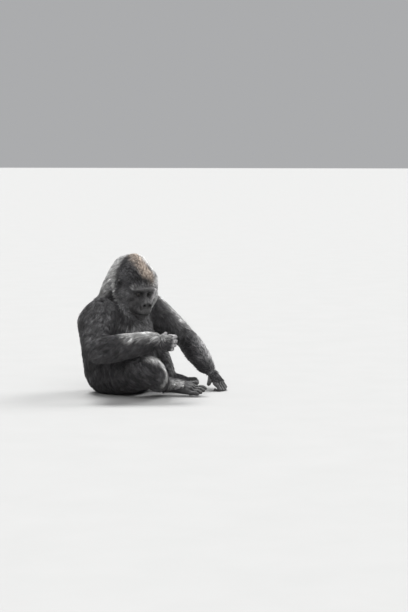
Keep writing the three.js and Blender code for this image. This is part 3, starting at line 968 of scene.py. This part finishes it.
# ---- coat: tufts, each a thin closed spike that follows the skin ----
tuftShape = {
    "stations": (0.0, 0.50, 1.0),  # along it
    "rise": (-0.12, 0.66, 1.0),  # of its lift
    "girth": (0.80, 1.0),  # of its width, before the tip
    "lift": (0.78, 0.50),  # of the coat's depth: the least, and how much more by chance
    "thick": 0.38,  # of its width
    "patch": 0.0015,  # half a tuft's patch on the bake's map
    "stiff": 0.35,  # how much it keeps its own lean from one station to the next
    "stray": 0.20,  # how far the hair strays from its lie
    "length": (0.70, 0.55),  # of the part's own: the least, and how much more by chance
    "width": (0.75, 0.50),
    "inCrease": 0.45,  # how much shorter it is in a crease
    "roundEar": 0.7,  # how much flatter it lies round the ears
    "shade": 0.30,  # how much tufts differ in shade
    "shadeLimits": (0.45, 2.0),
    "palest": 0.68,
    "ragged": 0.005,  # how far the edges of marks wander
    "clump": 22,  # tufts drawn together at their tips
    "clumpReach": (0.030, 0.015),  # from the leading one: where its pull starts and where it is full
    "pull": (0.25, 0.50),  # the least, and how much more by chance
    "pullCurve": 1.6,  # over 1, it grows towards the tip
    "clumpTone": 0.30,  # how much locks differ in shade, and on the head
    "headClumpTone": 0.15,
    "leastDepth": 0.0012,
    "floor": 0.0006,  # the least height of a tuft over the floor
    "seed": 7,
}
coatGroups = {
    "coat_head": ("head", "ear_right", "ear_left"),
    "coat_neck": ("neck",),
    "coat_back": ("trunk",),
    "coat_loins": ("trunk",),
    "coat_chest": ("trunk",),
    "coat_belly": ("trunk",),
    "coat_upper_arm_right": ("upper_arm_right",),
    "coat_upper_arm_left": ("upper_arm_left",),
    "coat_forearm_right": ("forearm_right",),
    "coat_forearm_left": ("forearm_left",),
    "coat_thigh_right": ("thigh_right",),
    "coat_thigh_left": ("thigh_left",),
    "coat_lower_legs": ("lower_leg_right", "lower_leg_left"),
    "coat_hands_and_feet": ("hand_right", "hand_left", "foot_right", "foot_left"),
}


def sowRoots(mesh, chance):
    # places on the skin, as a triangle and its corners' shares
    mesh.calc_loop_triangles()
    corners = readAll(mesh.loop_triangles, "vertices", 3, np.int32)
    loops = readAll(mesh.loop_triangles, "loops", 3, np.int32)
    areas = readAll(mesh.loop_triangles, "area", 1)[:, 0]
    wanted = np.cumsum(areas * density[corners].mean(1))
    total = int(wanted[-1])
    chosen = np.searchsorted(wanted, (np.arange(total) + chance.random(total)) * wanted[-1] / total)
    chosen = np.minimum(chosen, len(corners) - 1)
    first, second = np.sqrt(chance.random(total)), chance.random(total)
    shares = np.stack([1 - first, first * (1 - second), first * second], 1)
    return corners[chosen], loops[chosen], shares


def byChance(chance, name, count):
    least, more = tuftShape[name]
    return least + more * chance.random(count)


def layLocks(ground, facing, way, lengths, depths, chance):
    # the middle line of each tuft, carried along the skin one station at a time
    lines, ups = [], []
    lift = depths * byChance(chance, "lift", len(ground))
    for k, (station, rise) in enumerate(zip(tuftShape["stations"], tuftShape["rise"])):
        if k:
            step = (station - tuftShape["stations"][k - 1]) * lengths
            ahead = ground + way * step[:, None]
            found = [skinTree.find_nearest(Vector(spot)) for spot in ahead]
            ground = np.array([spot for spot, *_ in found])
            normals = np.array([normal for _, normal, *_ in found])
            facing = unit(facing * tuftShape["stiff"] + normals)
            way = unit(way - facing * (way * facing).sum(1)[:, None])
        lines.append(ground + facing * (lift * rise)[:, None])
        ups.append(facing)
    return np.stack(lines, 1), np.stack(ups, 1)


def clumped(lines, spread, chance):
    # tips lean towards the tip of the nearest leading tuft, so that they part into locks, whose
    # shades differ by this spread
    leaders = chance.permutation(len(lines))[:max(1, len(lines) // tuftShape["clump"])]
    tree = KDTree(len(leaders))
    for k, leader in enumerate(leaders):
        tree.insert(Vector(lines[leader, 0]), k)
    tree.balance()
    found = [tree.find(Vector(line[0])) for line in lines]
    near = np.array([number for _, number, _ in found])
    close = smoothstep(*tuftShape["clumpReach"], np.array([away for *_, away in found]))
    own = leaders[near]
    share = np.linspace(0, 1, lines.shape[1]) ** tuftShape["pullCurve"]
    pull = (close * byChance(chance, "pull", len(lines)))[:, None, None] * share[None, :, None]
    tone = np.exp(spread * chance.normal(size=len(leaders)))[near]
    return lines + (lines[own] - lines) * pull, tone[:, None]


def tuftFaces(sections):
    # the corners of each face of a spike with three-sided sections and a tip
    faces = [(0, 1, 2)]
    last = 3 * (sections - 1)
    for k in range(0, last, 3):
        faces += [(k, k + 3, k + 4, k + 1), (k + 1, k + 4, k + 5, k + 2), (k + 2, k + 5, k + 3, k)]
    tip = last + 3
    return faces + [(last, tip, last + 1), (last + 1, tip, last + 2), (last + 2, tip, last)]


def tuftMesh(name, lines, ups, widths, colours, maps):
    sections = len(tuftShape["girth"])
    count, size = len(lines), sections * 3 + 1
    across = unit(np.cross(unit(np.diff(lines, axis=1)), ups[:, :-1]))
    girth = widths[:, None, None] * np.array(tuftShape["girth"])[None, :, None] / 2
    middle = lines[:, :-1]
    right, left = middle + across * girth, middle - across * girth
    top = middle + ups[:, :-1] * girth * 2 * tuftShape["thick"]
    places = np.concatenate([np.stack([right, top, left], 2).reshape(count, -1, 3), lines[:, -1:]], 1)
    places[..., 2] = np.maximum(places[..., 2], tuftShape["floor"])
    faces = tuftFaces(sections)
    corners = np.array([v for face in faces for v in face])
    starts = np.cumsum([0] + [len(face) for face in faces[:-1]])
    number = np.arange(count)[:, None]
    allCorners = (corners + size * number).ravel()
    allStarts = (starts + len(corners) * number).ravel()
    mesh = bpy.data.meshes.new(name)
    mesh.vertices.add(count * size)
    mesh.vertices.foreach_set("co", places.astype(np.float32).ravel())
    mesh.loops.add(len(allCorners))
    mesh.loops.foreach_set("vertex_index", allCorners.astype(np.int32))
    mesh.polygons.add(len(allStarts))
    mesh.polygons.foreach_set("loop_start", allStarts.astype(np.int32))
    mesh.update(calc_edges=True)
    alongTuft = np.append(np.repeat(tuftShape["stations"][:-1], 3), 1.0)
    u = np.append(np.tile([1.0, 0.0, -1.0], sections), 0.0)
    ridge = np.append(np.tile([0.0, 0.15, 0.0], sections), 0.0)
    patch = np.stack([u, (2 * alongTuft - 1 + ridge) * 0.9], 1) * tuftShape["patch"]
    spread = (maps[:, None, :] + patch).reshape(-1, 2)
    layer = mesh.uv_layers.new(name="OFBake")
    layer.uv.foreach_set("vector", spread[allCorners].astype(np.float32).ravel())
    tint = np.empty((count, size, 4))
    tint[..., :3] = colours[:, None]
    tint[..., 3] = alongTuft
    give(mesh, "hair", tint, "FLOAT_COLOR")
    shadeSmooth(mesh)
    return newObject(name, mesh)


def growCoat():
    chance = np.random.default_rng(tuftShape["seed"])
    corners, loops, shares = sowRoots(skin.data, chance)
    count = len(corners)

    def here(values):
        # the skin's values at the roots
        return (values[corners] * (shares[..., None] if values.ndim > 1 else shares)).sum(1)

    bakeMap = readAll(skin.data.uv_layers["OFBake"].uv, "vector", 2)
    maps = (bakeMap[loops] * shares[..., None]).sum(1)
    ground, facing, part = here(spots), unit(here(lean)), parts[corners[:, 0]]
    way = unit(here(flow) + tuftShape["stray"] * unit(chance.normal(size=(count, 3))))
    way = unit(way - facing * (way * facing).sum(1)[:, None])
    lengths = here(tuftLength * (1 - tuftShape["inCrease"] * crease)) * byChance(chance, "length", count)
    depths = here(coatDepth * (1 - tuftShape["roundEar"] * nearEar))
    depths = np.maximum(depths, tuftShape["leastDepth"])
    widths = here(tuftWidth) * byChance(chance, "width", count)
    strayed = ground + tuftShape["ragged"] * chance.normal(size=(count, 3))
    shades = np.exp(tuftShape["shade"] * chance.normal(size=(count, 1))).clip(*tuftShape["shadeLimits"])
    colours = np.minimum(hairColoursWithPaintedLight(strayed) * shades, tuftShape["palest"])
    made = []
    for name, members in coatGroups.items():
        mine = among(part, *members)
        if members == ("trunk",):
            mine &= (ground[:, 1] > trunkMiddle.y) == (name in ("coat_back", "coat_loins"))
            mine &= (ground[:, 2] > trunkMiddle.z) == (name in ("coat_back", "coat_chest"))
        lines, ups = layLocks(ground[mine], facing[mine], way[mine], lengths[mine], depths[mine], chance)
        spread = tuftShape["headClumpTone" if name == "coat_head" else "clumpTone"]
        lines, tone = clumped(lines, spread, chance)
        made.append(tuftMesh(name, lines, ups, widths[mine], colours[mine] * tone, maps[mine]))
        print(name, len(lines), "tufts")
    return made


trunkMiddle = boxMiddle("trunk")
skinTree = treeOf(spots, skin.data)
coat = growCoat()


# ---- eyes ----
eyePlan = {
    "bulge": 1.1,  # how far the cornea stands out, in millimetres
    "iris": 27,  # half angle, in degrees
    "pupil": 11,
    "cornea": 31,
    "gazeOut": 6,  # degrees outwards, and down
    "gazeDown": 12,
}


def buildEye(name, side):
    work = bmesh.new()
    bmesh.ops.create_uvsphere(work, u_segments=64, v_segments=48, radius=pose["eyeRadius"] / 1000)
    fromAxis = []
    for vertex in work.verts:
        angle = math.degrees(vertex.co.angle(Vector((0, 0, 1)), 0))
        if angle < eyePlan["cornea"]:
            swell = math.cos(math.radians(90 * angle / eyePlan["cornea"])) ** 1.3
            vertex.co += vertex.co.normalized() * eyePlan["bulge"] / 1000 * swell
        fromAxis.append(angle)
    out, fall = math.radians(eyePlan["gazeOut"]) * side, math.radians(eyePlan["gazeDown"])
    ahead = headAxes @ Vector((math.sin(out), math.cos(out) * math.cos(fall), -math.sin(fall)))
    turn = Vector((0, 0, 1)).rotation_difference(ahead).to_matrix()
    bmesh.ops.rotate(work, verts=work.verts, matrix=turn)
    bmesh.ops.translate(work, verts=work.verts, vec=boxMiddle(name))
    mesh = meshFrom(work, name)
    give(mesh, "fromAxis", np.array(fromAxis))
    shadeSmooth(mesh)
    return newObject(name.replace("eye", "eyeball"), mesh)


eyes = {name: buildEye(name, side) for name, side in (("eye_right", 1), ("eye_left", -1))}
print("eyes made")


# ---- nails ----
nailPlan = {
    "thick": 0.0012,
    "curve": 0.682,  # across, of its width
    "arch": 0.10,  # along, of its length
    "setBack": 0.62,  # from the tip, of the last bone
    "finger": (0.0118, 0.0125),  # width and length
    "thumb": (0.0125, 0.0120),
    "bigToe": (0.0165, 0.0150),
    "toe": (0.0112, 0.0105),
    "floor": 0.0005,  # the least height over the floor
}


def addNail(work, at, way, up, size):
    wide, long = size
    before = set(work.verts)
    bmesh.ops.create_grid(work, x_segments=8, y_segments=8, size=0.5)
    fresh = [v for v in work.verts if v not in before]
    faces = [f for f in work.faces if f.verts[0] in fresh]
    for vertex in fresh:
        x, y = vertex.co.x, vertex.co.y
        square = 1 - 0.08 * abs(2 * y) ** 4
        narrow = (1 - 0.10 * (0.5 - y)) * (1 - 0.30 * max(0, abs(2 * x) - 0.7) * max(0, -2 * y))
        fall = nailPlan["curve"] * wide * x * x + nailPlan["arch"] * long * y * y
        vertex.co = Vector((x * wide * narrow * square, y * long * (1 - 0.16 * (2 * x) ** 2), -fall))
    made = bmesh.ops.extrude_face_region(work, geom=faces)
    moved = [v for v in made["geom"] if isinstance(v, bmesh.types.BMVert)]
    bmesh.ops.translate(work, verts=moved, vec=(0, 0, -nailPlan["thick"]))
    across = way.cross(up).normalized()
    axes = Matrix((across, way, up)).transposed().to_4x4()
    axes.translation = at
    bmesh.ops.transform(work, matrix=axes, verts=fresh + moved)


def finishNails(work, name):
    for vertex in work.verts:
        vertex.co.z = max(vertex.co.z, nailPlan["floor"])
    bmesh.ops.recalc_face_normals(work, faces=work.faces)
    nails = newObject(name, meshFrom(work, name))
    rounded = nails.modifiers.new("rounded", "SUBSURF")
    rounded.levels = rounded.render_levels = 1
    applyAll(nails)
    shadeSmooth(nails.data)
    return nails


def nailPlace(each):
    # just over the skin of the last bone
    tip, up, radius = each["joints"][-1], each["up"], each["radius"] / 1000
    start = tip - each["way"] * each["last"] * nailPlan["setBack"] + up * radius * 3
    hit = skinTree.ray_cast(start, -up, 0.08)[0]
    return (hit or tip + up * radius) + up * 0.0004


def makeNails(name, digits):
    work = bmesh.new()
    for each in digits:
        addNail(work, nailPlace(each), each["way"], each["up"], nailPlan[each["nail"]])
    return finishNails(work, "nails_" + name)


nails = [makeNails(name, digits) for name, digits in allDigits.items()]
print("nails made")


# ---- materials ----
class Reading:  # what a node gives, usable in sums
    def __init__(self, paint, socket):
        self.paint, self.socket = paint, socket

    def reckon(self, operation, *sides):
        return self.paint.node("ShaderNodeMath", {"operation": operation}, dict(enumerate(sides)))

    def __add__(self, other):
        return self.reckon("ADD", self, other)

    __radd__ = __add__

    def __sub__(self, other):
        return self.reckon("SUBTRACT", self, other)

    def __rsub__(self, other):
        return self.reckon("SUBTRACT", other, self)

    def __mul__(self, other):
        return self.reckon("MULTIPLY", self, other)

    __rmul__ = __mul__

    def between(self, low, high):
        # 0 at low and 1 at high, with soft ends
        return self.paint.node("ShaderNodeMapRange", {"interpolation_type": "SMOOTHSTEP"},
                               {0: self, 1: low, 2: high})


class Paint:  # one material and its nodes
    def __init__(self, name, **fixed):
        self.material = bpy.data.materials.new(name)
        self.material.use_nodes = True
        self.tree = self.material.node_tree
        self.shader = self.tree.nodes["Principled BSDF"]
        for socket, value in fixed.items():
            self.shader.inputs[socket.replace("_", " ")].default_value = value

    def node(self, kind, settings=None, values=None, output=0):
        made = self.tree.nodes.new(kind)
        for name, value in (settings or {}).items():
            setattr(made, name, value)
        for key, value in (values or {}).items():
            if isinstance(value, Reading):
                self.tree.links.new(value.socket, made.inputs[key])
            else:
                made.inputs[key].default_value = value
        return Reading(self, made.outputs[output])

    def attribute(self, name, output=0):
        return self.node("ShaderNodeAttribute", {"attribute_name": name}, output=output)

    def place(self, scale=(1, 1, 1)):
        return self.node("ShaderNodeMapping", {}, {0: self.node("ShaderNodeTexCoord", output=3), 3: scale})

    def noise(self, scale, detail=3, rough=0.55, stretch=(1, 1, 1), bend=0):
        return self.node("ShaderNodeTexNoise", {},
                         {"Vector": self.place(stretch), "Scale": scale, "Detail": detail,
                          "Roughness": rough, "Distortion": bend})

    def cells(self, scale, feature="F1"):
        return self.node("ShaderNodeTexVoronoi", {"feature": feature},
                         {"Vector": self.place(), "Scale": scale}, "Distance")

    def mixed(self, first, second, share, blend="MIX"):
        sides = [side if isinstance(side, Reading) else (*side, 1) for side in (first, second)]
        return self.node("ShaderNodeMix", {"data_type": "RGBA", "blend_type": blend},
                         {0: share, 6: sides[0], 7: sides[1]}, 2)

    def times(self, seen, amount):
        # a colour made lighter or darker by a number
        grey = self.node("ShaderNodeCombineColor", {}, {0: amount, 1: amount, 2: amount})
        return self.mixed(seen, grey, 1.0, "MULTIPLY")

    def bump(self, height, distance, strength):
        values = {"Height": height, "Distance": distance, "Strength": strength}
        return self.node("ShaderNodeBump", {}, values)

    def feed(self, **links):
        for socket, value in links.items():
            self.tree.links.new(value.socket, self.shader.inputs[socket.replace("_", " ")])


coatLook = {
    "sheen": (0.86, 0.86, 0.90, 1),
    "sunned": (0.110, 0.085, 0.062),  # the colour that tips fade to
    "sunnedShare": 0.16,
    "patch": 26,  # scale of its light and dark patches, and of single strands
    "strand": 420,
}


def coatPaint():
    paint = Paint("coat_hair", Specular_IOR_Level=0.30, Sheen_Weight=0.09, Sheen_Roughness=0.45,
                  Sheen_Tint=coatLook["sheen"])
    hair = paint.attribute("hair")
    along = paint.attribute("hair", 3)
    patches = paint.noise(coatLook["patch"]).between(0.32, 0.70)
    strands = paint.noise(coatLook["strand"], 2)
    shade = 0.72 + 0.34 * patches + 0.34 * along.between(0.1, 1.0)
    tinted = paint.times(hair, shade * (0.78 + 0.44 * strands))
    tips = coatLook["sunnedShare"] * along.between(0.55, 1.0) * patches
    paint.feed(Base_Color=paint.mixed(tinted, coatLook["sunned"], tips),
               Roughness=0.50 + 0.16 * strands, Normal=paint.bump(strands, 0.0006, 0.5))
    return paint.material


skinLook = {
    "dark": (0.030, 0.029, 0.030),
    "pale": (0.068, 0.066, 0.067),
    "worn": (0.082, 0.076, 0.074),
    # painted shade in the skin's fine cracks
    "cracks": (0.006, 0.006, 0.006),
    "underHair": (0.35, 0.34, 0.34),  # of the hair's colour
    "bump": 0.0011,
}


def skinPaint():
    paint = Paint("bare_skin", Specular_IOR_Level=0.55, Sheen_Weight=0.05)
    bareShare = paint.attribute("bare", 2).between(0.45, 1.0)
    blotches = paint.noise(34, 4, 0.6).between(0.30, 0.72)
    worn = paint.noise(120, 3, 0.6)
    wrinkles = paint.noise(95, 5, 0.62, (1, 1, 2.4), 0.8)
    creased = paint.cells(430, "DISTANCE_TO_EDGE").between(0.0, 0.16)
    base = paint.mixed(skinLook["dark"], skinLook["pale"], blotches)
    base = paint.mixed(base, skinLook["worn"], 0.5 * worn.between(0.52, 0.8))
    # painted shade: darker in the fine cracks, where the bump sinks
    base = paint.mixed(skinLook["cracks"], base, 0.45 + 0.55 * creased)
    # the bare skin's painted light and shade, from its tone attribute
    base = paint.times(base, paint.attribute("tone", 2))
    under = paint.mixed(paint.attribute("hair"), skinLook["underHair"], 1.0, "MULTIPLY")
    height = 0.9 * creased + 0.8 * wrinkles + 0.25 * paint.cells(900) + 0.4 * worn
    paint.feed(Base_Color=paint.mixed(under, base, bareShare),
               Roughness=0.80 - bareShare * (0.36 - 0.14 * worn),
               Normal=paint.bump(height, skinLook["bump"], 0.55))
    return paint.material


eyeLook = {
    "iris": (0.008, 0.004, 0.002),
    "fibres": (0.026, 0.012, 0.005),
    "rim": (0.010, 0.004, 0.002),
    "ball": (0.014, 0.010, 0.008),
    "ballDark": (0.008, 0.006, 0.005),
    "pupil": (0.002, 0.002, 0.002),
}


def eyePaint():
    paint = Paint("eye", Specular_IOR_Level=0.25, Coat_Weight=0.35, Coat_Roughness=0.03)
    angle = paint.attribute("fromAxis", 2)
    fibres = paint.noise(520, 3, 0.6)
    edge, pupil = eyePlan["iris"], eyePlan["pupil"]
    iris = paint.mixed(eyeLook["iris"], eyeLook["fibres"], fibres.between(0.35, 0.7))
    iris = paint.mixed(iris, eyeLook["rim"], angle.between(edge - 6, edge))
    ball = paint.mixed(eyeLook["ball"], eyeLook["ballDark"], paint.noise(90).between(0.4, 0.7))
    seen = paint.mixed(iris, ball, angle.between(edge - 1, edge + 2))
    seen = paint.mixed(eyeLook["pupil"], seen, angle.between(pupil - 1, pupil + 1))
    paint.feed(Base_Color=seen, Roughness=0.12 + 0.1 * fibres)
    return paint.material


nailLook = {"dark": (0.016, 0.014, 0.013), "pale": (0.075, 0.062, 0.052)}


def nailPaint():
    paint = Paint("nail_horn", Specular_IOR_Level=0.5)
    streaks = paint.noise(260, 3, 0.5)
    base = paint.mixed(nailLook["dark"], nailLook["pale"], streaks.between(0.35, 0.75))
    paint.feed(Base_Color=base, Roughness=0.30 + 0.22 * streaks, Normal=paint.bump(streaks, 0.0004, 0.4))
    return paint.material


floorLook = {"dark": (0.39, 0.39, 0.385), "pale": (0.42, 0.42, 0.415)}


def floorPaint():
    paint = Paint("pale_floor", Roughness=0.85)
    paint.feed(Base_Color=paint.mixed(floorLook["dark"], floorLook["pale"], paint.noise(3)))
    return paint.material


# the coat's colours, with their painted sunlight and shade, also on the skin
hairOnSkin = np.concatenate([hairColoursWithPaintedLight(spots), np.ones((len(spots), 1))], 1)
give(skin.data, "hair", hairOnSkin, "FLOAT_COLOR")
give(skin.data, "bare", bare)
# painted light and shade of the bare skin
give(skin.data, "tone", skinTones(spots))
shadeSmooth(skin.data)
hairMaterial = coatPaint()
for piece in coat:
    piece.data.materials.append(hairMaterial)
    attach(piece, "root")
skin.data.materials.clear()
skin.data.materials.append(skinPaint())
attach(skin, "root")
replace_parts(skin, *fleshNames)
eyeMaterial, nailMaterial = eyePaint(), nailPaint()
for name, ball in eyes.items():
    ball.data.materials.append(eyeMaterial)
    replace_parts(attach(ball, "root"), name)
for piece in nails:
    piece.data.materials.append(nailMaterial)
    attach(piece, "root")
print("materials set")


# ---- floor, light and camera ----
stagePlan = {
    "floor": 400.0,  # half its breadth
    "world": (0.97, 0.98, 1.0, 0.42),  # colour and strength
    "lights": [  # way to it, strength and how widely it spreads, in degrees
        ((0.42, 0.80, 1.55), 3.4, 24),
        ((0.95, -0.30, 0.80), 1.9, 30),
        ((-0.90, -0.80, 0.90), 1.5, 50),
    ],
    "lens": 112,
    "turn": -55,  # degrees round the object
    "rise": 4.3,
    "cameraAt": (-9005, -6854, 1370),
}


def buildStage():
    work = bmesh.new()
    bmesh.ops.create_grid(work, x_segments=1, y_segments=1, size=stagePlan["floor"])
    floor = newObject("floor", meshFrom(work, "floor"))
    floor.data.materials.append(floorPaint())
    world = bpy.data.worlds.new("studio")
    world.use_nodes = True
    *tint, strength = stagePlan["world"]
    world.node_tree.nodes["Background"].inputs["Color"].default_value = (*tint, 1)
    world.node_tree.nodes["Background"].inputs["Strength"].default_value = strength
    scene.world = world
    for k, (way, strength, spread) in enumerate(stagePlan["lights"]):
        lamp = bpy.data.lights.new("light_" + str(k), "SUN")
        lamp.energy, lamp.angle = strength, math.radians(spread)
        light = newObject(lamp.name, lamp)
        light.location = way
        light.rotation_euler = (-Vector(way)).to_track_quat("-Z", "Y").to_euler()


def setCamera():
    lens = bpy.data.cameras.new("camera")
    lens.lens, lens.sensor_width = stagePlan["lens"], 36
    lens.clip_start, lens.clip_end = 0.1, 1000
    camera = newObject("camera", lens)
    turn, rise = math.radians(stagePlan["turn"]), math.radians(stagePlan["rise"])
    back = Vector((math.sin(turn) * math.cos(rise), -math.cos(turn) * math.cos(rise), math.sin(rise)))
    camera.location = place(*stagePlan["cameraAt"])
    camera.rotation_euler = (-back).to_track_quat("-Z", "Y").to_euler()
    scene.camera = camera


buildStage()
setCamera()
scene.view_settings.view_transform = "Standard"
